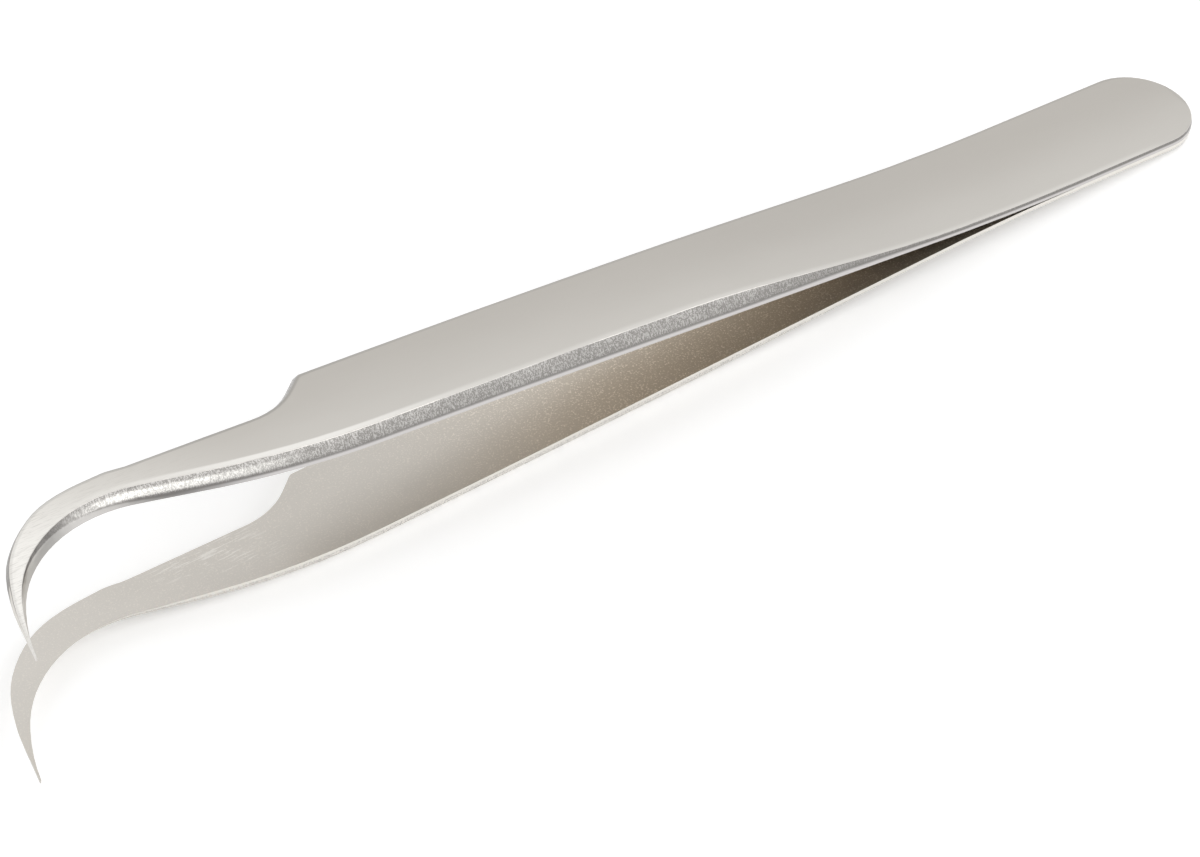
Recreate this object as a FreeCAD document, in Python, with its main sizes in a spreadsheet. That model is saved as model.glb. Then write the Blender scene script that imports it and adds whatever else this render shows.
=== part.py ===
import FreeCAD, Part
import math
import os
from FreeCAD import Placement, Rotation, Vector

# Curved tip tweezers: two leaves of stainless strip, stamped and ground as mirror
# images of each other and welded face to face at the tail.
#
# A leaf is worked out in its own frame. The mid-plane of the tweezers is z = 0, the
# shoulder stands at x = 0, the tail lies at +x and the point at -x. The hook turns
# towards -y, called the near side here, and the notch behind it is cut into the far
# side. At the end both leaves are laid down as the tweezers come to rest, on the lower
# leaf, with the middle of the whole thing's base at the origin.

doc = FreeCAD.newDocument("curved_tip_tweezers")
sheet = doc.addObject("Spreadsheet::Sheet", "Sizes")

SIZES = [
    # lengths along the handle
    ("handle_length", 86.8),
    ("weld_length", 15.0),
    ("bend_length", 15.5),
    ("thin_length", 29.0),
    ("thickening_length", 27.0),
    ("grip_taper_length", 26.0),
    # how a leaf leaves the mid-plane, in degrees, and the bow of its grip
    ("spread_angle", 4.2),
    ("bow_length", 18.8),
    ("bow_radius", 1150.0),
    # inner face, each side of the centre line
    ("tail_half_width", 4.81),
    ("near_half_width", 4.55),
    ("far_half_width", 4.2),
    # thickness of the leaf
    ("spring_thickness", 0.53),
    ("grip_thickness", 1.58),
    ("shoulder_thickness", 1.42),
    ("neck_thickness", 1.1),
    ("hook_thickness", 0.75),
    ("tip_thickness", 0.28),
    # far edge in front of the shoulder
    ("shoulder_radius", 0.5),
    ("notch_angle", 40.0),
    ("notch_radius", 6.5),
    ("neck_far_offset", 1.5),
    ("neck_far_slope", 0.9),
    # near edge, from the easy blend into the neck to the inside of the hook
    ("blend_lead", 2.4),
    ("blend_radius", 63.7),
    ("blend_angle", 13.0),
    ("neck_straight", 5.2),
    ("hook_radius", 11.1),
    ("hook_angle", 73.0),
    ("point_radius", 19.8),
    ("point_length", 5.5),
    # width of the hook, measured across it
    ("hook_waist_width", 3.14),
    ("hook_back_width", 3.03),
    ("hook_bend_width", 2.2),
    ("point_root_width", 1.02),
    ("tip_width", 0.12),
    # flanks: how far the outer face stands back from the edge of the inner one
    ("spring_flank", 0.13),
    ("grip_flank", 0.82),
    ("shoulder_flank", 0.74),
    ("neck_flank", 0.82),
    ("neck_far_flank", 0.7),
    ("hook_inner_flank", 0.55),
    ("hook_outer_flank", 0.34),
    ("tip_flank", 0.03),
    # how round the flanks are, and the broken edge of the outer face
    ("flank_crown", 0.02),
    ("neck_crown", 0.09),
    ("edge_break", 0.1),
    ("rest_flat_depth", 0.02),
]
for row, (name, value) in enumerate(SIZES, start=1):
    sheet.set("A%d" % row, name)
    sheet.set("B%d" % row, str(value))
    sheet.setAlias("B%d" % row, name)
doc.recompute()

# Widest spacing of the ribs along the handle and along the front, the finest at the
# shoulder's corner, and how fast they close up on it, as a share of the way left
HANDLE_SPACING = 3.0
FRONT_SPACING = 0.9
CORNER_SPACING = 0.06
CLOSING = 0.35

# Places in the bend of the hook, as shares of its length
WAIST_PLACE = 0.2
BACK_PLACE = 0.4
BEND_PLACE = 0.7

# The land is the steep strip beside the inner face: its height as a share of the
# thickness, and its run as a share of the flank's. In the hook it is a facet of its own,
# and round the notch, which is stamped and not ground, it takes nearly half the wall.
LAND = (0.2, 0.1)
HOOK_FACET = (0.45, 0.6)
NOTCH_LAND = (0.42, 0.1)

# Depth of the broken edge as a share of its run
BREAK_DEPTH = 0.35

# How near a face's ends count as in one plane
CLOSE = 0.01

# Steps of the search for the rest, and fineness of the mesh that is laid down
REST_STEPS = 600
REST_FINENESS = 0.02


def size(name):
    return float(sheet.get(name))


def ease(part):
    """Rises from 0 to 1 with no slope at either end."""
    part = min(max(part, 0.0), 1.0)
    return part * part * (3.0 - 2.0 * part)


def through(knots, at):
    """A smooth line through (place, value) knots that never overshoots them."""
    at = min(max(at, knots[0][0]), knots[-1][0])
    steps = [(b[1] - a[1]) / (b[0] - a[0]) for a, b in zip(knots, knots[1:])]
    slopes = [0.0]
    for before, after in zip(steps, steps[1:]):
        turns = before * after <= 0.0
        slopes.append(0.0 if turns else 2.0 * before * after / (before + after))
    slopes.append(0.0)
    index = 0
    while at > knots[index + 1][0]:
        index += 1
    start, end = knots[index], knots[index + 1]
    span = end[0] - start[0]
    u = (at - start[0]) / span
    return (
        start[1] * (1.0 + 2.0 * u) * (1.0 - u) ** 2
        + end[1] * u * u * (3.0 - 2.0 * u)
        + span * slopes[index] * u * (1.0 - u) ** 2
        - span * slopes[index + 1] * u * u * (1.0 - u)
    )


# The leaf seen from the side
tail_x = size("handle_length")
weld_x = tail_x - size("weld_length")
bend_x = weld_x - size("bend_length")
thin_x = tail_x - size("thin_length")
spread = math.tan(math.radians(size("spread_angle")))


def lift(x):
    """Height of the inner face over the mid-plane: a bend, a straight, then a bow."""
    if x >= weld_x:
        return 0.0
    if x >= bend_x:
        return spread * (weld_x - x) ** 2 / (2.0 * size("bend_length"))
    height = spread * (size("bend_length") / 2.0 + bend_x - x)
    if x < size("bow_length"):
        height -= (size("bow_length") - x) ** 2 / (2.0 * size("bow_radius"))
    return height


def along_handle(x, spring, grip, shoulder):
    """A size that grows from the spring to the grip and eases off at the shoulder."""
    growth = ease((thin_x - x) / size("thickening_length"))
    taper = ease((size("grip_taper_length") - x) / size("grip_taper_length"))
    return size(spring) + growth * (size(grip) - size(spring)) - taper * (size(grip) - size(shoulder))


def thickness_at(x):
    return along_handle(x, "spring_thickness", "grip_thickness", "shoulder_thickness")


# What a leaf lies on is flat. The plane that touches its grip and the heel of its tail
# takes a hair's breadth off both.
heel_x = tail_x - size("spring_flank")
heel_height = size("spring_thickness")
rest_slope = max(
    (lift(x) + thickness_at(x) - heel_height) / (heel_x - x)
    for x in [bend_x * step / REST_STEPS for step in range(REST_STEPS)]
)


def rest_height(x):
    """Height over the mid-plane of the plane that the leaf lies on."""
    return heel_height - size("rest_flat_depth") + rest_slope * (heel_x - x)


# Near side of the leaf, seen from above. The tail keeps its width over the weld, and the
# handle narrows in a straight line to the blend. The blend, neck and hook are runs that
# are each tangent to the last: length and radius, with no radius where the run is
# straight. A heading of 0 points to -x and grows as the line turns towards +y.
blend_x = size("blend_lead")
handle_heading = math.atan2(size("tail_half_width") - size("near_half_width"), weld_x - blend_x)
NEAR_RUNS = [
    (size("blend_radius") * math.radians(size("blend_angle")), size("blend_radius")),
    (size("neck_straight"), None),
    (size("hook_radius") * math.radians(size("hook_angle")), -size("hook_radius")),
    (size("point_length"), -size("point_radius")),
]
blend_end, hook_start, point_start, tip = [
    sum(length for length, radius in NEAR_RUNS[:count]) for count in (1, 2, 3, 4)
]
bend_run = point_start - hook_start
hook_middle = (hook_start + tip) / 2.0


def near_line(travel):
    """Point and heading on the near side, by distance from the start of the blend."""
    x, y, heading = blend_x, -size("near_half_width"), handle_heading
    for length, radius in NEAR_RUNS:
        step = min(travel, length)
        if radius is None:
            x -= step * math.cos(heading)
            y += step * math.sin(heading)
        else:
            turned = heading + step / radius
            x -= radius * (math.sin(turned) - math.sin(heading))
            y -= radius * (math.cos(turned) - math.cos(heading))
            heading = turned
        travel -= step
        if travel <= 0.0:
            break
    return Vector(x, y, 0.0), heading


def blend_travel(x):
    """Distance along the blend to the place x."""
    turned = math.asin(math.sin(handle_heading) + (blend_x - x) / size("blend_radius"))
    return size("blend_radius") * (turned - handle_heading)


def near_point(x):
    """Near edge of the inner face, from the tail to the shoulder."""
    if x < blend_x:
        return near_line(blend_travel(x))[0]
    narrowing = (weld_x - min(x, weld_x)) * math.tan(handle_heading)
    return Vector(x, narrowing - size("tail_half_width"), 0.0)


# Far side, seen from above: a straight edge, the shoulder's rounded corner, a straight
# slope, a hollow arc and the neck's edge, up to the root of the hook.
far_slope = (size("tail_half_width") - size("far_half_width")) / weld_x
far_angle = math.atan(far_slope)
notch_angle = math.radians(size("notch_angle"))
corner_run = size("shoulder_radius") * math.tan((notch_angle - far_angle) / 2.0)
corner_centre = Vector(
    corner_run * math.cos(far_angle) + size("shoulder_radius") * math.sin(far_angle),
    size("far_half_width") + corner_run * math.sin(far_angle) - size("shoulder_radius") * math.cos(far_angle),
    0.0,
)
notch_arc_depth = size("notch_radius") * (1.0 - math.cos(notch_angle))
slope_depth = size("far_half_width") - size("neck_far_offset") - notch_arc_depth
slope_run = slope_depth / math.tan(notch_angle)
notch_run = slope_run + size("notch_radius") * math.sin(notch_angle)
neck_slope = math.tan(math.radians(size("neck_far_slope")))


def far_point(x):
    """Far edge of the inner face, from the tail to the hook."""
    if x >= corner_run * math.cos(far_angle):
        y = size("far_half_width") + min(x, weld_x) * far_slope
    elif x > -corner_run * math.cos(notch_angle):
        y = corner_centre.y + math.sqrt(size("shoulder_radius") ** 2 - (x - corner_centre.x) ** 2)
    elif x > -slope_run:
        y = size("far_half_width") + x * math.tan(notch_angle)
    elif x > -notch_run:
        hollow = math.sqrt(size("notch_radius") ** 2 - (x + notch_run) ** 2)
        y = size("neck_far_offset") + size("notch_radius") - hollow
    else:
        y = size("neck_far_offset") - (x + notch_run) * neck_slope
    return Vector(x, y, 0.0)


shoulder_travel = blend_travel(0.0)
notch_foot = shoulder_travel + notch_run
hook_root, hook_heading = near_line(hook_start)
root_rise = size("neck_far_offset") - (hook_root.x + notch_run) * neck_slope - hook_root.y
root_width = root_rise / (math.cos(hook_heading) + neck_slope * math.sin(hook_heading))
root_far_x = hook_root.x + root_width * math.sin(hook_heading)

hook_widths = [
    (hook_start, root_width),
    (hook_start + WAIST_PLACE * bend_run, size("hook_waist_width")),
    (hook_start + BACK_PLACE * bend_run, size("hook_back_width")),
    (hook_start + BEND_PLACE * bend_run, size("hook_bend_width")),
    (point_start, size("point_root_width")),
    (tip, size("tip_width")),
]
front_thicknesses = [
    (shoulder_travel, size("shoulder_thickness")),
    (hook_start, size("neck_thickness")),
    (hook_middle, size("hook_thickness")),
    (tip, size("tip_thickness")),
]
near_flanks = [
    (shoulder_travel, size("shoulder_flank")),
    (hook_start, size("neck_flank")),
    (hook_middle, size("hook_inner_flank")),
    (tip, size("tip_flank")),
]
far_flanks = [
    (shoulder_travel, size("shoulder_flank")),
    (notch_foot, size("neck_far_flank")),
    (hook_middle, size("hook_outer_flank")),
    (tip, size("tip_flank")),
]
near_crowns = [
    (shoulder_travel, 0.0),
    (blend_end, size("neck_crown")),
    (hook_middle, 0.0),
]
land_heights = [(blend_end, LAND[0]), (hook_middle, HOOK_FACET[0])]
land_runs = [(blend_end, LAND[1]), (hook_middle, HOOK_FACET[1])]
far_land_heights = [(notch_foot, NOTCH_LAND[0]), (hook_start, LAND[0])]


def flank_points(edge, inward, thickness, flank, land, crown):
    """Points up one flank: inner edge, top of the land, middle, edge break, outer edge."""
    slimness = thickness / size("grip_thickness")
    edge_break = size("edge_break") * slimness
    crown = crown + size("flank_crown") * slimness
    low = (land[1] * flank, land[0] * thickness)
    high = (flank - edge_break, thickness - BREAK_DEPTH * edge_break)
    middle = ((low[0] + high[0] - crown) / 2.0, (low[1] + high[1] + crown) / 2.0)
    points = []
    for run, rise in ((0.0, 0.0), low, middle, high, (flank, thickness)):
        place = edge + inward * run
        points.append(Vector(place.x, place.y, lift(place.x) + rise))
    return points


def section(near, far, thickness, flanks, lands, near_crown=0.0):
    """One cross-section of the leaf, as a closed wire of eight edges."""
    inward = (far - near).normalize()
    up = flank_points(near, inward, thickness, flanks[0], lands[0], near_crown)
    down = flank_points(far, inward * -1.0, thickness, flanks[1], lands[1], 0.0)
    edges = [
        Part.LineSegment(up[0], up[1]),
        Part.Arc(up[1], up[2], up[3]),
        Part.LineSegment(up[3], up[4]),
        Part.LineSegment(up[4], down[4]),
        Part.LineSegment(down[4], down[3]),
        Part.Arc(down[3], down[2], down[1]),
        Part.LineSegment(down[1], down[0]),
        Part.LineSegment(down[0], up[0]),
    ]
    return Part.Wire([edge.toShape() for edge in edges])


def handle_section(x):
    flank = along_handle(x, "spring_flank", "grip_flank", "shoulder_flank")
    growth = ease((size("grip_taper_length") - x) / size("grip_taper_length"))
    far_land = (LAND[0] + growth * (NOTCH_LAND[0] - LAND[0]), LAND[1])
    return section(near_point(x), far_point(x), thickness_at(x), (flank, flank), (LAND, far_land))


def front_section(travel):
    """Section of the notch, neck and hook, by distance along the near side."""
    near, heading = near_line(travel)
    if travel < hook_start:
        start = near_line(shoulder_travel)[0]
        share = (start.x - near.x) / (start.x - hook_root.x)
        far = far_point(share * root_far_x)
    else:
        across = Vector(math.sin(heading), math.cos(heading), 0.0)
        far = near + across * through(hook_widths, travel)
    flanks = (through(near_flanks, travel), through(far_flanks, travel))
    lands = (
        (through(land_heights, travel), through(land_runs, travel)),
        (through(far_land_heights, travel), LAND[1]),
    )
    return section(
        near, far, through(front_thicknesses, travel), flanks, lands, through(near_crowns, travel)
    )


def spread_out(start, end, corner, widest):
    """Places from start to end, which close up where they come near a corner."""
    way = math.copysign(1.0, end - start)
    places = [start]
    step = 0.0
    while abs(end - places[-1]) > 1.5 * step:
        places.append(places[-1] + way * step)
        step = min(max(CLOSING * abs(places[-1] - corner), CORNER_SPACING), widest)
    return places[1:-1] + [end]


# A leaf is one strip in three pieces: a smooth loft from the weld to the tip, the flat
# tail over the weld, and its round end.
handle_places = spread_out(weld_x, 0.0, 0.0, HANDLE_SPACING)
neck_places = spread_out(shoulder_travel, hook_start, shoulder_travel, FRONT_SPACING)
hook_places = spread_out(hook_start, tip, shoulder_travel, FRONT_SPACING)
ribs = []
for wire in [handle_section(x) for x in handle_places] + [
    front_section(travel) for travel in neck_places[1:] + hook_places[1:]
]:
    rib = doc.addObject("Part::Feature", "Rib%02d" % len(ribs))
    rib.Shape = wire
    ribs.append(rib)
strip = doc.addObject("Part::Loft", "Strip")
strip.Sections = ribs
strip.MaxDegree = 2
strip.Solid = True

tail = doc.addObject("Part::Extrusion", "Tail")
tail.Base = ribs[0]
tail.DirMode = "Custom"
tail.Dir = Vector(1, 0, 0)
tail.Solid = True
tail.setExpression("LengthFwd", "Sizes.weld_length - Sizes.tail_half_width")

# The round end is one flank of the tail turned half a circle about the tail's middle
centre = Vector(tail_x - size("tail_half_width"), 0, 0)
flank = size("spring_flank")
rim = flank_points(Vector(centre.x, -size("tail_half_width"), 0), Vector(0, 1, 0), thickness_at(weld_x), flank, LAND, 0.0)
hub = Vector(centre.x, 0, rim[4].z)
rim_edges = [
    Part.LineSegment(centre, rim[0]),
    Part.LineSegment(rim[0], rim[1]),
    Part.Arc(rim[1], rim[2], rim[3]),
    Part.LineSegment(rim[3], rim[4]),
    Part.LineSegment(rim[4], hub),
    Part.LineSegment(hub, centre),
]
half_section = doc.addObject("Part::Feature", "TailHalfSection")
half_section.Shape = Part.Wire([edge.toShape() for edge in rim_edges])
round_end = doc.addObject("Part::Revolution", "RoundEnd")
round_end.Source = half_section
round_end.Base = centre
round_end.Axis = Vector(0, 0, 1)
round_end.Angle = 180.0
round_end.Solid = True

# The flats of the grip and of the heel
turn = Rotation(Vector(0, 1, 0), math.degrees(math.atan(rest_slope)))
waste = doc.addObject("Part::Box", "RestWaste")
waste.setExpression("Length", "Sizes.handle_length + Sizes.tail_half_width")
waste.setExpression("Width", "4 * Sizes.tail_half_width")
waste.setExpression("Height", "Sizes.grip_thickness")
corner = Vector(-tail_x, -2.0 * size("tail_half_width"), 0)
waste.Placement = Placement(Vector(heel_x, 0, rest_height(heel_x)) + turn.multVec(corner), turn)
handle = doc.addObject("Part::Cut", "FlatStrip")
handle.Base = strip
handle.Tool = waste
tail_end = doc.addObject("Part::Cut", "TailEnd")
tail_end.Base = round_end
tail_end.Tool = waste
doc.recompute()


def skin(piece, joints):
    """The faces of a piece without those that it meets its neighbours with."""
    faces = []
    for face in piece.Shape.Faces:
        ends = (face.BoundBox.XMin, face.BoundBox.XMax)
        if not any(abs(end - x) < CLOSE for x in joints for end in ends if face.BoundBox.XLength < CLOSE):
            faces.append(face)
    return faces


# The pieces share their end sections, so a leaf is their skins sewn together
joints = (weld_x, centre.x)
skins = Part.makeCompound(skin(handle, joints) + skin(tail, joints) + skin(tail_end, joints))
skins.sewShape()
body = Part.makeSolid(skins.Shells[0])
if body.Volume < 0.0:
    body.reverse()
upper = doc.addObject("Part::Feature", "UpperArm")
upper.Label = "upper_arm"
upper.Shape = body

lower = doc.addObject("Part::Mirroring", "LowerArm")
lower.Label = "lower_arm"
lower.Source = upper
lower.Normal = Vector(0, 0, 1)
doc.recompute()

# Turn both leaves so that the lower one's flats are level, and bring the middle of their
# base to the origin. The lower leaf is the upper one's image in the mid-plane.
upper.Placement = Placement(Vector(), turn)
lower.Normal = turn.multVec(Vector(0, 0, 1))
doc.recompute()
points, facets = Part.makeCompound([upper.Shape, lower.Shape]).tessellate(REST_FINENESS)
low = Vector(min(p.x for p in points), min(p.y for p in points), min(p.z for p in points))
high = Vector(max(p.x for p in points), max(p.y for p in points), max(p.z for p in points))
shift = Vector(-(low.x + high.x) / 2.0, -(low.y + high.y) / 2.0, -low.z)
upper.Placement = Placement(shift, turn)
lower.Base = shift
doc.recompute()

failed = [thing.Name for thing in doc.Objects if "Invalid" in thing.State or "Error" in thing.State]
if failed:
    raise RuntimeError("these did not recompute: %s" % ", ".join(failed))

os.makedirs("parts", exist_ok=True)
for arm in (upper, lower):
    if arm.Shape.isNull() or not arm.Shape.isValid() or len(arm.Shape.Solids) != 1:
        raise RuntimeError("%s is not one sound solid" % arm.Label)
    arm.Shape.exportStep("parts/%s.step" % arm.Label)
    print("%s: %.2f cubic mm, %d faces" % (arm.Label, arm.Shape.Volume, len(arm.Shape.Faces)))

print("resting turn %.4f degrees, mid-plane at %s" % (math.degrees(turn.Angle), shift))
for face in lower.Shape.Faces:
    if abs(face.BoundBox.ZMax) < REST_FINENESS:
        print("rests on a flat of %.2f square mm round %s" % (face.Area, face.CenterOfMass))
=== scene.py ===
# %% [markdown]
# # Curved tip tweezers
#
# These are fine tweezers for small parts. Two leaves of stainless strip are welded face to
# face at the tail, and each narrows over a notch and a slim neck to a hooked point.
#
# The lesson dresses a finished construction model. The shape of each leaf already comes
# from the construction, so the work here is in the skin of the metal: where the grinding
# belt went, where it did not, and how the light falls on both. The frame is loaded first.

# %% Load the frame
import math

import bmesh
import bpy
from mathutils import Matrix, Vector
from mathutils.bvhtree import BVHTree
from mathutils.geometry import intersect_point_line


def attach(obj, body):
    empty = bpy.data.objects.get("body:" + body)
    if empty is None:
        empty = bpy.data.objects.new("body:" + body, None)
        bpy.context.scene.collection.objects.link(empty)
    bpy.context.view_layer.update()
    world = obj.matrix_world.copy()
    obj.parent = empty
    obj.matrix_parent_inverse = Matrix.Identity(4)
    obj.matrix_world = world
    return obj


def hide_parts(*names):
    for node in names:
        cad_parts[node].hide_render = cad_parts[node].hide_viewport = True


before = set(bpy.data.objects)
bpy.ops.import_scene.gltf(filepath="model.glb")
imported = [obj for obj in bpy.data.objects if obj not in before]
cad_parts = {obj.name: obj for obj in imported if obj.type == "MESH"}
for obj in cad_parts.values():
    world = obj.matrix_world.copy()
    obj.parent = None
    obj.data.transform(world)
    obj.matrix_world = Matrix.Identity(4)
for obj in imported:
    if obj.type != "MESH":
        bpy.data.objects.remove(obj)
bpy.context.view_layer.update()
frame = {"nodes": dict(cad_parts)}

MM = 0.001

print("frame nodes:", ", ".join(frame["nodes"]))

# %% [markdown]
# ## The skin of a leaf
#
# On the real tweezers each leaf is stamped from flat strip. Its two broad faces keep the
# satin of the sheet, a belt then grinds its edges into slanting flanks, and the corner
# between face and flank is broken with a light pass, which leaves the thin bright line
# that runs along the handle.
#
# One way to dress it would be to draw a leaf again from nothing. The other is to take the
# frame's own mesh, which has the right shape, and to give its surfaces their own finishes.
# The second way is chosen, because then nothing can drift off the construction. The
# frame's mesh is loose triangles, so a copy is merged first. Every face is then sorted by
# how steeply it stands in the leaf's own frame, which leans by the angle at which the
# tweezers rest on the table.

# %% How the leaves lie
LEAN = math.radians(3.6625)
FACE_TILT = math.cos(math.radians(12.0))
BREAK_TILT = math.cos(math.radians(32.0))
leaf_up = Matrix.Rotation(LEAN, 3, "Y") @ Vector((0.0, 0.0, 1.0))
print("a leaf's own up direction:", [round(v, 4) for v in leaf_up])

# %% Sort the faces of a leaf by how they stand
OUTER, BREAK, FLANK, INNER = range(4)
KINDS = ("outer", "break", "flank", "inner")


def sort_faces(shape, outward):
    for face in shape.faces:
        tilt = outward * face.normal.dot(leaf_up)
        if tilt > FACE_TILT:
            face.material_index = OUTER
        elif tilt > BREAK_TILT:
            face.material_index = BREAK
        elif tilt < -FACE_TILT:
            face.material_index = INNER
        else:
            face.material_index = FLANK
        face.smooth = True


# %% [markdown]
# ### Measures that the finishes follow
#
# The painted highlight of the rolled edge, the strokes on the flank and the polish of the
# hook all follow the leaf round its bend, so a pattern in plain x, y and z can't place
# them. They could be painted by hand, or unwrapped. Here every corner of the mesh carries
# four measures instead: how far it is from the near and from the far edge, how high it
# stands on the flank, and how far it is from the point. The near side is the one that the
# hook bends to.

# %% Find the edges on one side of a leaf
NEAR_WAY = Vector((1.0, -1.0, 0.0)).normalized()


def side_edges(shape, kind, side):
    """The edges where the faces of a kind end on one side of the leaf."""
    found = []
    for edge in shape.edges:
        inside = [face for face in edge.link_faces if face.material_index == kind]
        beside = [face for face in edge.link_faces if face.material_index in (BREAK, FLANK)]
        if len(inside) == 1 and len(beside) == 1:
            start, end = edge.verts[0].co, edge.verts[1].co
            along = (end - start).normalized()
            way = (start + end) / 2.0 - inside[0].calc_center_median()
            way -= along * way.dot(along)
            if way.dot(side) > 0.0 and beside[0].normal.dot(side) > 0.0:
                found.append(edge)
    return found


# %% Distance from those edges
def distance_to(point, edges):
    """Distance from a point to the nearest of some edges."""
    nearest = math.inf
    for edge in edges:
        start, end = edge.verts[0].co, edge.verts[1].co
        foot, share = intersect_point_line(point, start, end)
        foot = start if share < 0.0 else end if share > 1.0 else foot
        nearest = min(nearest, (point - foot).length)
    return nearest


# %% Height on the flank
MERGE_DISTANCE = 0.0005 * MM


def surface(shape, kind):
    """The faces of a kind, as something that can be asked for its nearest point."""
    shape.verts.index_update()
    wanted = [face for face in shape.faces if face.material_index == kind]
    corners = [[vert.index for vert in face.verts] for face in wanted]
    return BVHTree.FromPolygons([vert.co for vert in shape.verts], corners)


def rise_of(point, inner, outer):
    """0 at the inner face, 1 at the outer one."""
    below = abs((point - inner.find_nearest(point)[0]).dot(leaf_up))
    above = abs((point - outer.find_nearest(point)[0]).dot(leaf_up))
    return below / max(below + above, MERGE_DISTANCE)


# %% Write the measures on every corner, in millimetres and as a share of the height
MEASURES = ("from_near", "from_far", "rise", "from_tip")


def measure(shape):
    layers = {name: shape.verts.layers.float.new(name) for name in MEASURES}
    near = {kind: side_edges(shape, kind, NEAR_WAY) for kind in (OUTER, INNER)}
    far = {kind: side_edges(shape, kind, -NEAR_WAY) for kind in (OUTER, INNER)}
    inner, outer = surface(shape, INNER), surface(shape, OUTER)
    tip = min(shape.verts, key=lambda vert: vert.co.y).co
    for vert in shape.verts:
        kinds = {face.material_index for face in vert.link_faces}
        side = OUTER if OUTER in kinds or BREAK in kinds else INNER
        vert[layers["from_near"]] = distance_to(vert.co, near[side]) / MM
        vert[layers["from_far"]] = distance_to(vert.co, far[side]) / MM
        vert[layers["rise"]] = rise_of(vert.co, inner, outer)
        vert[layers["from_tip"]] = (vert.co - tip).length / MM


# %% Merge a copy of a node, sort it and measure it
SHARP_ANGLE = math.radians(50.0)


def dress(node, name, outward):
    """A merged copy of a frame node. outward is 1 for the upper leaf, -1 for the lower."""
    shape = bmesh.new()
    shape.from_mesh(frame["nodes"][node].data)
    bmesh.ops.remove_doubles(shape, verts=shape.verts, dist=MERGE_DISTANCE)
    sort_faces(shape, outward)
    measure(shape)
    for edge in shape.edges:
        if edge.is_manifold and edge.calc_face_angle() > SHARP_ANGLE:
            edge.smooth = False
    kinds = [face.material_index for face in shape.faces]
    print(name, "faces:", {kind: kinds.count(index) for index, kind in enumerate(KINDS)})
    mesh = bpy.data.meshes.new(name)
    shape.to_mesh(mesh)
    shape.free()
    piece = bpy.data.objects.new(name, mesh)
    bpy.context.collection.objects.link(piece)
    return piece


upper_leaf = dress("upper_arm", "upper_leaf", 1.0)
lower_leaf = dress("lower_arm", "lower_leaf", -1.0)

# %% [markdown]
# ### Shading the faces
#
# The real faces are flat, and only their corners roll over. Plain smooth shading would
# spread that roll over the whole width, because a vertex's normal is the mean of its
# faces. A Weighted Normal modifier lets the broad faces have most of the say, so they stay
# flat. It changes no shape, which is why it is preferred to more geometry.

# %% Shade the broad faces flat and let the corners roll over
FACE_WEIGHT = 80

for leaf in (upper_leaf, lower_leaf):
    rolled = leaf.modifiers.new("rolled corners", "WEIGHTED_NORMAL")
    rolled.keep_sharp = True
    rolled.weight = FACE_WEIGHT

# %% [markdown]
# ## Writing a finish
#
# A finish is a small network of nodes. Its sums are easier to read as sums, so one class
# stands for a node's output and turns + - * and / into Math nodes. Another holds the
# network, and adds any other node by its type, its settings and what goes into it.


# %% A node's output that can be added and multiplied
class Wire:
    def __init__(self, network, socket):
        self.network = network
        self.socket = socket

    def sum(self, operation, first, second):
        return self.network.node("ShaderNodeMath", {"operation": operation}, {0: first, 1: second})

    def __add__(self, other):
        return self.sum("ADD", self, other)

    def __radd__(self, other):
        return self.sum("ADD", other, self)

    def __sub__(self, other):
        return self.sum("SUBTRACT", self, other)

    def __rsub__(self, other):
        return self.sum("SUBTRACT", other, self)

    def __mul__(self, other):
        return self.sum("MULTIPLY", self, other)

    def __rmul__(self, other):
        return self.sum("MULTIPLY", other, self)

    def __truediv__(self, other):
        return self.sum("DIVIDE", self, other)

    def __rtruediv__(self, other):
        return self.sum("DIVIDE", other, self)


# %% The network that the wires belong to
class Network:
    def __init__(self, tree):
        self.tree = tree

    def feed(self, socket, value):
        if isinstance(value, Wire):
            self.tree.links.new(value.socket, socket)
        else:
            socket.default_value = value

    def node(self, kind, settings=None, inputs=None, output=0):
        made = self.tree.nodes.new(kind)
        for name, value in (settings or {}).items():
            setattr(made, name, value)
        for key, value in (inputs or {}).items():
            self.feed(made.inputs[key], value)
        return Wire(self, made.outputs[output])


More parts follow.
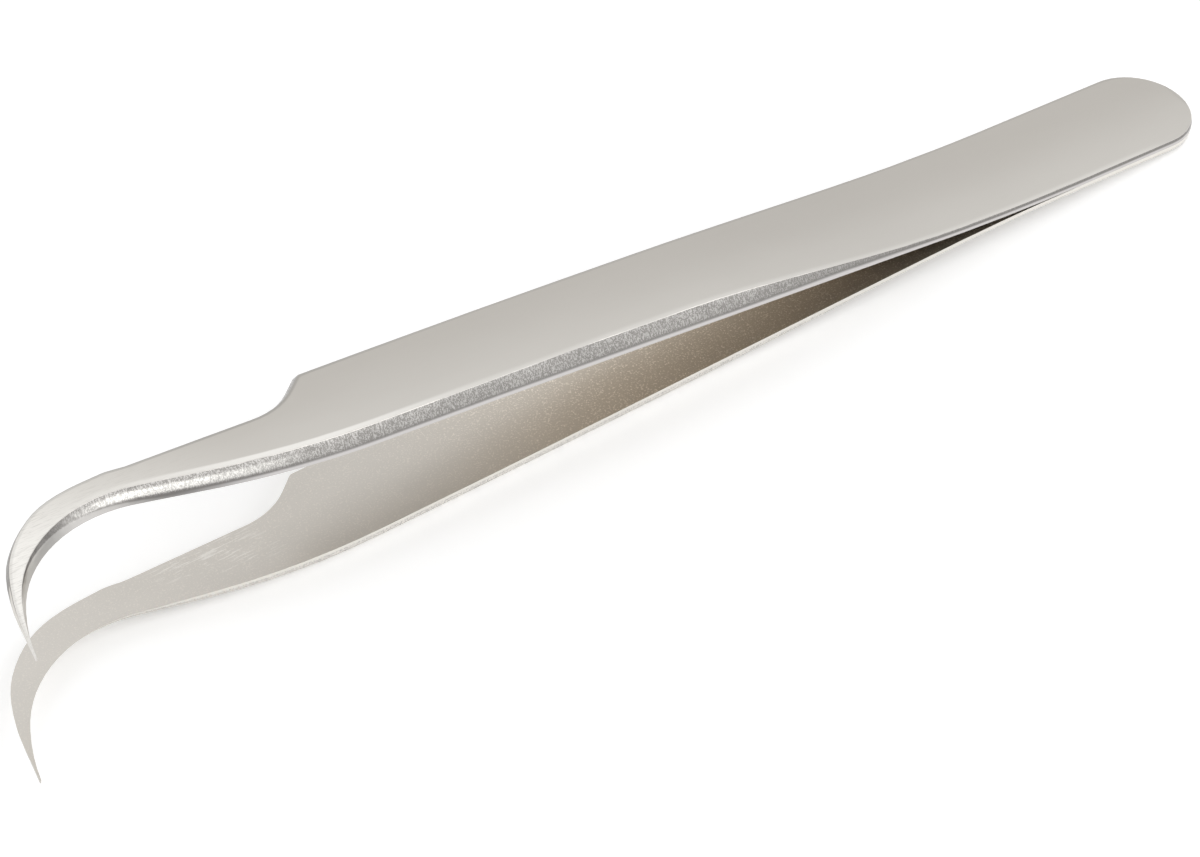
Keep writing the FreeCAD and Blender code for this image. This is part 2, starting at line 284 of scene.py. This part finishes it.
# %% A metal finish
class Finish(Network):
    """A metal finish whose patterns are measured in millimetres on the object."""

    def __init__(self, name):
        self.material = bpy.data.materials.new(name)
        self.material.use_nodes = True
        super().__init__(self.material.node_tree)
        self.shader = self.tree.nodes["Principled BSDF"]
        self.shader.inputs["Metallic"].default_value = 1.0
        self.place = self.node("ShaderNodeTexCoord", output="Object")

    def grain(self, size, detail=2.0, rough=0.5, seat=(0.0, 0.0, 0.0)):
        """Noise from 0 to 1 whose spots measure size = (x, y, z) in millimetres."""
        scaled = self.node(
            "ShaderNodeMapping",
            inputs={
                "Vector": self.place,
                "Location": seat,
                "Rotation": (0.0, LEAN, 0.0),
                "Scale": [1.0 / (spot * MM) for spot in size],
            },
        )
        return self.node(
            "ShaderNodeTexNoise",
            {"noise_dimensions": "3D"},
            {"Vector": scaled, "Scale": 1.0, "Detail": detail, "Roughness": rough},
        )

    def axis(self, name):
        """The place along x, y or z, in millimetres."""
        return self.node("ShaderNodeSeparateXYZ", inputs={0: self.place}, output=name) / MM

    def measure(self, name):
        """One of the measures that the mesh carries."""
        return self.node("ShaderNodeAttribute", {"attribute_name": name}, output="Fac")

    def between(self, value, span):
        """Rises smoothly from 0 to 1 as value goes through span = (start, end)."""
        return self.node(
            "ShaderNodeMapRange",
            {"interpolation_type": "SMOOTHSTEP"},
            {"Value": value, "From Min": span[0], "From Max": span[1]},
        )

    def hill(self, value, up, down):
        """Rises from 0 to 1 through the span up, and falls again through the span down."""
        return self.between(value, up) * (1.0 - self.between(value, down))

    def blend(self, share, first, second):
        """A colour between two, by share."""
        colours = {"data_type": "RGBA"}
        return self.node("ShaderNodeMix", colours, {"Factor": share, 6: first, 7: second}, output=2)

    def colour(self, value):
        self.feed(self.shader.inputs["Base Color"], value)

    def roughness(self, value):
        self.feed(self.shader.inputs["Roughness"], value)

    def bump(self, height, depth):
        """Relief of that height, 0 to 1, and depth in millimetres."""
        relief = {"Strength": 1.0, "Distance": depth * MM, "Height": height}
        self.feed(self.shader.inputs["Normal"], self.node("ShaderNodeBump", inputs=relief))

    def report(self):
        print(self.material.name, "is made of", len(self.tree.nodes), "nodes")


# %% [markdown]
# ## The finishes
#
# The steel has a warm grey of its own. What changes from one surface to the next is the
# size and the direction of its scratches: the broad faces are satin, so fine that only
# a faint cloudiness shows; the flanks carry the belt's short strokes across the edge, and
# glitter; the broken edge is a thin bright line; and the inner faces are the sheet's own,
# with a coarser speckle. On top of that, much of the light and shade is painted into the
# colours: a painted sheen and painted highlights on the faces and edges, painted glints in
# the glitter and the speckle, and painted shade on the flanks. One steel with one roughness
# would be simpler, but it would look like plastic, because it is this change of finish at
# every edge that says ground metal.

# %% The steel's colours
STEEL_DEEP = (0.540, 0.513, 0.474, 1.0)
STEEL_PALE = (0.680, 0.657, 0.618, 1.0)
STEEL_BRIGHT = (0.850, 0.828, 0.785, 1.0)
STEEL_CLEAR = (0.970, 0.950, 0.910, 1.0)
SHEET = (0.575, 0.548, 0.508, 1.0)
SHEET_WARM = (0.590, 0.536, 0.463, 1.0)
SHEET_GLINT = (0.950, 0.885, 0.800, 1.0)
GROUND_DARK = (0.220, 0.210, 0.201, 1.0)
GROUND = (0.255, 0.245, 0.233, 1.0)
GROUND_GLINT = (0.475, 0.462, 0.446, 1.0)
DIE_SHINE = (0.600, 0.580, 0.572, 1.0)

# %% [markdown]
# ### The outer faces
#
# These are satin all over. Towards the near edge their colour is painted a little paler,
# as a painted sheen. One faint cloud of noise would be enough for a piece seen from far
# off. Close up the eye looks for grain as well, so a finer speck is added, which also gives
# the face its slight relief.

# %% Satin, with a painted sheen that grows from the far side to the near one
SIDE_TO_SIDE = (-1.5, 7.0)
CLOUD_SIZE = (9.0, 3.0, 3.0)
SPECK_SIZE = (0.35, 0.16, 0.2)
SHEEN_SHARE = 0.7
CLOUD_SHARE = 0.2
SPECK_SHARE = 0.1

satin = Finish("satin_outer_face")
cloud = satin.grain(CLOUD_SIZE, detail=3.0)
speck = satin.grain(SPECK_SIZE, detail=3.0, rough=0.6)
# Painted sheen: the satin is painted paler towards the near edge; cloud and speck are its own
# grain.
near_side_sheen = 1.0 - satin.between(satin.axis("Y"), SIDE_TO_SIDE)
sheen_and_cloud = SHEEN_SHARE * near_side_sheen + CLOUD_SHARE * cloud + SPECK_SHARE * speck
satin_and_highlight_grey = satin.blend(sheen_and_cloud, STEEL_DEEP, STEEL_PALE)

# %% [markdown]
# The belt has rolled the corner along the near edge. Along the neck the roll is wider and
# clearer, and at the tail it has run out. It could be a bevel in the mesh, but it is so
# shallow that only its shine shows, and so that shine is painted into the colour with the
# measures, as a painted highlight. The far edge has no such roll. It ends in a hair-thin
# dark line of painted shade, the shade of the flank behind it.

# %% The painted highlight on the rolled near edge and the painted shade line at the far one
ROLL_WIDTH = 0.55
ROLL_START = 0.05
NECK_ROLL_START = 0.3
ROLL_HIGHLIGHT = 0.35
NECK_ROLL_HIGHLIGHT = 0.5
NECK_ROLL = ((12.0, 26.0), (30.0, 46.0))
TAIL = (50.0, 55.0)
FAR_LINE = (0.08, 0.26)
FAR_SHADE = 0.2
NECK_FAR_SHADE = 0.25

from_tip = satin.measure("from_tip")
rolled_neck = satin.hill(from_tip, *NECK_ROLL)
roll = (ROLL_START + NECK_ROLL_START * rolled_neck, ROLL_WIDTH)
rolled_edge_highlight = 1.0 - satin.between(satin.measure("from_near"), roll)
rolled_edge_highlight = rolled_edge_highlight * (1.0 - satin.between(satin.axis("X"), TAIL))
# Painted highlight: the rolled near edge is painted pale, more so along the neck.
painted_roll_highlight = (ROLL_HIGHLIGHT + NECK_ROLL_HIGHLIGHT * rolled_neck) * rolled_edge_highlight
satin_and_highlight_grey = satin.blend(painted_roll_highlight, satin_and_highlight_grey, STEEL_CLEAR)
# Painted shade: a hair-thin dark line painted along the far edge.
far_line = 1.0 - satin.between(satin.measure("from_far"), FAR_LINE)
far_shade = (FAR_SHADE + NECK_FAR_SHADE * rolled_neck) * far_line

# %% [markdown]
# The hook was finished by hand, across its width, and is the brightest part of all: its
# grey is partly its polish and partly a painted highlight, paler still towards the point.
# The handle's satin would hide those strokes, so the hook gets a grain of its own, long
# across the hook and thin along it, and the satin fades into it over the neck.

# %% The hand-polished hook, with a painted highlight towards the point
HOOK_POLISH = (9.0, 27.0)
POINT_HIGHLIGHT = (8.0, 18.0)
HAND_STROKE_SIZE = (1.1, 0.09, 0.5)
HAND_STROKE = (0.48, 0.7)
HAND_STROKE_SHARE = 0.7
HAND_STROKE_RELIEF = 3.0
SATIN_ROUGHNESS = 0.30
SATIN_SPREAD = 0.05
SATIN_RELIEF_MM = 0.0014


def hook_polish(finish):
    """0 on the handle, 1 on the last of the hook."""
    return 1.0 - finish.between(finish.measure("from_tip"), HOOK_POLISH)


polish = hook_polish(satin)
near_point = 1.0 - satin.between(from_tip, POINT_HIGHLIGHT)
hand_stroke = satin.grain(HAND_STROKE_SIZE, detail=3.0, rough=0.65)
# Polish and painted highlight: the hook's grey is painted paler towards the point.
polish_and_highlight_grey = satin.blend(near_point, STEEL_BRIGHT, STEEL_CLEAR)
stroke_share = HAND_STROKE_SHARE * satin.between(hand_stroke, HAND_STROKE)
polish_and_highlight_grey = satin.blend(stroke_share, polish_and_highlight_grey, STEEL_PALE)
satin_and_highlight_grey = satin.blend(polish, satin_and_highlight_grey, polish_and_highlight_grey)
satin.colour(satin.blend(far_shade, satin_and_highlight_grey, GROUND))
satin.roughness(SATIN_ROUGHNESS + SATIN_SPREAD * cloud + SATIN_SPREAD * speck)
satin.bump(speck + polish * (HAND_STROKE_RELIEF * hand_stroke - speck), SATIN_RELIEF_MM)
satin.report()

# %% [markdown]
# ### The broken edge
#
# A light pass takes the sharpness off the corner between face and flank. It leaves a bevel
# a tenth of a millimetre wide, which the construction already has. It could share the
# flank's finish, but then the bright line along the handle would be lost. So it has one of
# its own: a painted highlight on the near side, with small nicks, and painted shade, a
# darker grey, on the far one.

# %% The broken edge between a face and its flank
NICK_SIZE = (0.5, 0.12, 0.12)
FAR_FROM_NEAR = (1.0, 2.0)
BROKEN_ROUGHNESS = 0.34
NICK_ROUGHNESS = 0.12
NICK_RELIEF_MM = 0.001

broken = Finish("broken_edge")
nick = broken.grain(NICK_SIZE)
# Painted highlight on the near side and painted shade on the far side; the nicks are the edge's
# own.
far_side = broken.between(broken.measure("from_near"), FAR_FROM_NEAR)
near_highlight_grey = broken.blend(nick, STEEL_BRIGHT, STEEL_PALE)
broken.colour(broken.blend(far_side, near_highlight_grey, GROUND_GLINT))
broken.roughness(BROKEN_ROUGHNESS + NICK_ROUGHNESS * nick)
broken.bump(nick, NICK_RELIEF_MM)
broken.report()

# %% [markdown]
# ### The flanks
#
# A belt ground them across the edge. Its short strokes catch the light one by one, which
# reads as glitter, and they fade where the leaf grows thin towards the tail. Strokes could
# be cut as geometry, but there are thousands. Two grains mixed half and half, one of upright
# strokes and one of round sand, give the same look through colour, roughness and relief:
# the strokes are the steel's own grain, and their glints are painted paler in the colour.

# %% A ground flank, with the measures that its patterns follow
BELT_STROKE_SIZE = (0.1, 0.3, 0.3)
BELT_SAND_SIZE = (0.08, 0.09, 0.09)
BELT_SAND_SEAT = (3.0, 1.0, 2.0)
SPRING = (66.0, 88.0)
NECK = ((12.0, 18.0), (18.0, 31.0))
DIE_STRIP = 0.2
SPRING_STRIP = 0.3


class Flank(Finish):
    def __init__(self, name):
        super().__init__(name)
        stroke = self.grain(BELT_STROKE_SIZE, rough=0.6)
        sand = self.grain(BELT_SAND_SIZE, seat=BELT_SAND_SEAT)
        self.texture = 0.5 * stroke + 0.5 * sand
        self.rise = self.measure("rise")
        self.from_tip = self.measure("from_tip")
        self.spring = self.between(self.from_tip, SPRING)
        self.neck = self.hill(self.from_tip, *NECK)
        self.hook = hook_polish(self)
        self.strip_top = DIE_STRIP + SPRING_STRIP * self.spring


# %% The belt's strokes with painted glints above the die's strip, and painted shade towards the tail
GLINT = (0.46, 0.58)
SPRING_FADE = 0.6
SPRING_SHADE = 0.35


def belt(flank, dark, middle):
    """The ground grey, how much of it has strokes, and where they glint."""
    on_flank = flank.between(flank.rise, (flank.strip_top, 2.0 * flank.strip_top))
    strokes = (1.0 - SPRING_FADE * flank.spring) * on_flank
    # Painted glints: paler spots where the strokes' grain peaks.
    glint = flank.between(flank.texture, GLINT) * strokes
    # Painted shade: the flank is painted darker towards the tail.
    grey = flank.blend(on_flank - SPRING_SHADE * flank.spring, dark, middle)
    return flank.blend(glint, grey, GROUND_GLINT), strokes, glint


# %% [markdown]
# Two bright lines run along the flank. On the neck it is ground round, and its crown shows
# the lamp as a broad soft streak. Beside the inner face the stamping die has left a narrow
# steep strip, which shows the white table. A mirror would find both by itself, but ground
# steel is too rough for that at this size, so both are painted into the colour: a painted
# highlight on the crown and a painted reflection on the strip.

# %% The painted highlight on the neck's crown and the painted reflection on the die's strip
CROWN = ((0.30, 0.45), (0.66, 0.84))
CROWN_GRAIN = (0.44, 0.54)
CROWN_LEAST = 0.55
STRIP_EDGE = (0.6, 1.3)
HANDLE = (18.0, 26.0)


def painted_crown_highlight(flank, grey, bright):
    # Painted highlight: the lamp's soft streak on the neck's crown.
    crown = flank.hill(flank.rise, *CROWN)
    grain = CROWN_LEAST + (1.0 - CROWN_LEAST) * flank.between(flank.texture, CROWN_GRAIN)
    return flank.blend(crown * flank.neck * grain, grey, bright)


def painted_strip_reflection(flank, grey, shine):
    # Painted reflection: the white table in the die's strip along the handle.
    span = (STRIP_EDGE[0] * flank.strip_top, STRIP_EDGE[1] * flank.strip_top)
    strip = 1.0 - flank.between(flank.rise, span)
    return flank.blend(strip * flank.between(flank.from_tip, HANDLE), grey, shine)


# %% [markdown]
# Inside the hook the flank is two facets, with painted shade on the upper and a painted
# highlight on the lower one. The line between them starts low at the root of the hook and
# climbs to the outer face at the point. On the back of the hook there is one facet only, in
# painted shade. Two materials would meet in a hard step, so one material takes the line
# from two measures: the height on the flank and the distance from the point.

# %% The facets of the hook, in painted shade and painted highlight
FACET_LENGTH = 24.0
FACET_BLUR = 0.06
UPPER_SHADE_SHARE = 0.8
FACET_PALE = (7.0, 13.0)
HOOK_BACK = (0.9, 1.3)
BACK_DARK = (5.0, 10.0)


def hook_facets(flank, grey, dark, middle):
    line = flank.between(flank.from_tip, (FACET_LENGTH, 0.0))
    above_line = flank.between(flank.rise, (line - FACET_BLUR, line + FACET_BLUR))
    upper_facet_shade = UPPER_SHADE_SHARE * above_line * flank.hook * (1.0 - flank.neck)
    grey = flank.blend(upper_facet_shade, grey, dark)
    lower_facet_highlight = flank.blend(flank.between(flank.from_tip, FACET_PALE), STEEL_PALE, GROUND_GLINT)
    grey = flank.blend((1.0 - above_line) * flank.hook, grey, lower_facet_highlight)
    back = flank.between(flank.measure("from_near"), HOOK_BACK) * flank.hook
    back_facet_shade = flank.blend(flank.between(flank.from_tip, BACK_DARK), dark, middle)
    return flank.blend(back, grey, back_facet_shade)


# %% The whole flank
GLINT_POLISH = 0.08
LEAST_RELIEF = 0.2
NECK_SMOOTH = 0.6
BELT_RELIEF_MM = 0.006


def ground_flank(name, roughness, dark, middle, shine, bright):
    flank = Flank(name)
    grey, strokes, glint = belt(flank, dark, middle)
    grey = painted_crown_highlight(flank, grey, bright)
    grey = painted_strip_reflection(flank, grey, shine)
    flank.colour(hook_facets(flank, grey, dark, middle))
    flank.roughness(roughness - GLINT_POLISH * glint)
    relief = flank.texture * (LEAST_RELIEF + (1.0 - LEAST_RELIEF) * strokes)
    flank.bump(relief * (1.0 - NECK_SMOOTH * flank.neck), BELT_RELIEF_MM)
    flank.report()
    return flank


# %% [markdown]
# The upper leaf's flank faces the camera, and is ground coarse. Its dark grey is partly
# that grind and partly painted shade. The lower leaf shows only a sliver of its own, right
# above the table. It is the same grind, but it is painted pale and made duller there, a
# painted reflection of the lit table. Both come from the one function, so that a change to
# the belt's strokes reaches them alike.

# %% The flanks of both leaves
COARSE = 0.36
PALE_FLANK_ROUGHNESS = 0.62

# Painted shade on the upper flank's dark copy; painted reflection of the table on the lower flank's
# pale copy.
ground = ground_flank("ground_flank", COARSE, GROUND_DARK, GROUND, DIE_SHINE, STEEL_CLEAR)
pale_lit_flank = ground_flank(
    "pale_lit_ground_flank", PALE_FLANK_ROUGHNESS, STEEL_BRIGHT, STEEL_BRIGHT, STEEL_BRIGHT, STEEL_PALE
)

# %% [markdown]
# ### The inner faces
#
# These keep the sheet's own speckle. They face each other across the gap, so light has to
# bounce between them to get out, and the gap goes brown and then black towards the weld.
# It could be painted dark, but then it would stay dark from every side. A colour that is
# a little warmer towards the weld is enough, because every bounce takes on more of it.

# %% The inner faces, with the sheet's own speckle and painted glints
MOTTLE_SIZE = (6.0, 2.5, 2.5)
GRIT_SIZE = (0.14, 0.14, 0.14)
GLITTER = (0.55, 0.64)
WARMING = (38.0, 60.0)
MOTTLE_SHARE = 0.15
GLITTER_SHARE = 0.2
WARM_GLITTER_SHARE = 0.6

sheet_face = Finish("inner_face")
mottle = sheet_face.grain(MOTTLE_SIZE, detail=3.0)
grit = sheet_face.grain(GRIT_SIZE, rough=0.6)
sheet_from_tip = sheet_face.measure("from_tip")
warmth = sheet_face.between(sheet_from_tip, WARMING)
glitter = sheet_face.between(grit, GLITTER)
sheet_grey = sheet_face.blend(warmth, SHEET, SHEET_WARM)
# The speckle is the sheet's grit; its bright specks are painted glints, more of them towards the
# weld.
speckle = (GLITTER_SHARE + WARM_GLITTER_SHARE * warmth) * glitter
sheet_grey = sheet_face.blend(MOTTLE_SHARE * mottle + speckle, sheet_grey, SHEET_GLINT)

# %% [markdown]
# On the neck the faces have rubbed on each other and on what they held, which has left
# a patch of fine bright scratches along the leaf. A long thin grain, cut off high so that
# only its peaks show, gives scratches of uneven length without drawing any.

# %% Rub marks on the neck's inner face
RUB_SIZE = (2.0, 0.16, 0.5)
RUB_SEAT = (1.0, 5.0, 0.0)
RUB_PATCH = ((20.0, 23.0), (26.0, 31.0))
RUB_INSET = (1.2, 2.2)
RUB_PEAKS = (0.56, 0.64)
RUB_SHARE = 0.5
HOOK_SHARE = 0.25
SHEET_ROUGHNESS = 0.33
GRIT_ROUGHNESS = 0.08
GRIT_RELIEF_MM = 0.006

rub = sheet_face.grain(RUB_SIZE, detail=3.0, rough=0.6, seat=RUB_SEAT)
rubbed = sheet_face.hill(sheet_from_tip, *RUB_PATCH)
rubbed = rubbed * sheet_face.between(sheet_face.measure("from_near"), RUB_INSET)
rubbed = rubbed * sheet_face.between(rub, RUB_PEAKS)
sheet_grey = sheet_face.blend(RUB_SHARE * rubbed, sheet_grey, STEEL_BRIGHT)
hook_share = HOOK_SHARE * hook_polish(sheet_face)
sheet_face.colour(sheet_face.blend(hook_share, sheet_grey, STEEL_BRIGHT))
sheet_face.roughness(SHEET_ROUGHNESS + GRIT_ROUGHNESS * grit)
sheet_face.bump(grit, GRIT_RELIEF_MM)
sheet_face.report()

# %% [markdown]
# ## Putting the finishes on
#
# A mesh has numbered material slots, and the sorting above has given each face its
# number: outer, break, flank, inner. So the finishes only need to be hung in that order.
# Each leaf then takes its frame node's place and rides on the root, because the two
# leaves are welded and nothing on the tweezers turns.

# %% Give the finishes to the leaves
for leaf, node, flank in (
    (upper_leaf, "upper_arm", ground),
    (lower_leaf, "lower_arm", pale_lit_flank),
):
    for finish in (satin, broken, flank, sheet_face):
        leaf.data.materials.append(finish.material)
    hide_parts(node)
    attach(leaf, "root")
    print(leaf.name, "stands for", node, "with", len(leaf.data.materials), "finishes")

# %% [markdown]
# ## The table and the light
#
# The tweezers lie on a plain white table. It could be lit until it is white, but that would
# burn out the steel as well. So its paint is white, and it glows a little where the camera
# or the metal looks at it. The glow lights nothing else, and the soft shadow stays.

# %% A white table
TABLE_SIZE = 8.0
TABLE_WHITE = (0.96, 0.96, 0.96, 1.0)
TABLE_ROUGHNESS = 0.9
PAPER_GLOW = 0.17

table = bmesh.new()
bmesh.ops.create_grid(table, x_segments=1, y_segments=1, size=TABLE_SIZE / 2.0)
table_mesh = bpy.data.meshes.new("table")
table.to_mesh(table_mesh)
table.free()
floor = bpy.data.objects.new("table", table_mesh)
bpy.context.collection.objects.link(floor)

# %% The table's paint
floor.data.materials.append(bpy.data.materials.new("white_table"))
floor.active_material.use_nodes = True
paper = Network(floor.active_material.node_tree)
paper_shader = paper.tree.nodes["Principled BSDF"]
paper_shader.inputs["Base Color"].default_value = TABLE_WHITE
paper_shader.inputs["Roughness"].default_value = TABLE_ROUGHNESS
paper_shader.inputs["Specular IOR Level"].default_value = 0.0
paper_shader.inputs["Emission Color"].default_value = (1.0, 1.0, 1.0, 1.0)
rays = ("Is Camera Ray", "Is Glossy Ray", "Is Transmission Ray")
seen = [paper.node("ShaderNodeLightPath", output=ray) for ray in rays]
paper.feed(paper_shader.inputs["Emission Strength"], PAPER_GLOW * (seen[0] + seen[1] + seen[2]))
print("table:", TABLE_SIZE, "m wide")

# %% [markdown]
# Bare metal has hardly a colour of its own, so it shows what stands round it: a pale room
# that is brighter behind the table than in front of it, and one wide soft lamp above the
# front. The room could be built of panels, but their edges would show in the steel. It is
# a slope of light in the world's background instead, and shades the metal smoothly.

# %% A pale room, brighter behind than in front
ROOM_LEVEL = 0.60
ROOM_BACK = 0.25
ROOM_TOP = 0.33

world = bpy.data.worlds.new("pale_room")
bpy.context.scene.world = world
world.use_nodes = True
room = Network(world.node_tree)
way = room.node("ShaderNodeTexCoord", output="Generated")
back = room.node("ShaderNodeSeparateXYZ", inputs={0: way}, output="Y")
top = room.node("ShaderNodeSeparateXYZ", inputs={0: way}, output="Z")
level = ROOM_LEVEL + ROOM_BACK * back + ROOM_TOP * top
background = world.node_tree.nodes["Background"]
room.feed(background.inputs["Strength"], level)
background.inputs["Color"].default_value = (1.0, 1.0, 1.0, 1.0)

# %% One wide soft lamp, above and to the front
LAMP_PLACE = Vector((0.31, -0.57, 0.42))
LAMP_SIZE = 0.8
LAMP_POWER = 2.6

lamp_data = bpy.data.lights.new("soft_lamp", "AREA")
lamp_data.shape = "SQUARE"
lamp_data.size = LAMP_SIZE
lamp_data.energy = LAMP_POWER
lamp = bpy.data.objects.new("soft_lamp", lamp_data)
facing = LAMP_PLACE.to_track_quat("Z", "Y").to_matrix().to_4x4()
lamp.matrix_world = Matrix.Translation(LAMP_PLACE) @ facing
bpy.context.collection.objects.link(lamp)
print("lamp:", round(LAMP_PLACE.length, 3), "m from the middle of the tweezers")

# %% [markdown]
# ## The camera
#
# The picture looks down on the tweezers from the front left with a long lens. Its place,
# heading, dip and roll are given as plain numbers, in millimetres and degrees. A camera
# aimed at a target would be easier to set up, but it couldn't keep the picture's slight
# roll.

# %% Camera
CAMERA_PLACE = Vector((-140.172, -178.386, 214.278)) * MM
CAMERA_HEADING = math.radians(37.3036)
CAMERA_DIP = math.radians(43.7704)
CAMERA_ROLL = math.radians(1.4518)
LENS = 119.98
FILM_WIDTH = 36.0
CLIP_START = 0.01
CLIP_END = 50.0

camera_data = bpy.data.cameras.new("camera")
camera_data.lens = LENS
camera_data.sensor_width = FILM_WIDTH
camera_data.clip_start = CLIP_START
camera_data.clip_end = CLIP_END
camera = bpy.data.objects.new("camera", camera_data)
camera.matrix_world = (
    Matrix.Translation(CAMERA_PLACE)
    @ Matrix.Rotation(-CAMERA_HEADING, 4, "Z")
    @ Matrix.Rotation(math.pi / 2.0 - CAMERA_DIP, 4, "X")
    @ Matrix.Rotation(CAMERA_ROLL, 4, "Z")
)
bpy.context.collection.objects.link(camera)
bpy.context.scene.camera = camera
bpy.context.scene.view_settings.view_transform = "Standard"
print("camera:", round(CAMERA_PLACE.length, 3), "m from the middle of the tweezers")
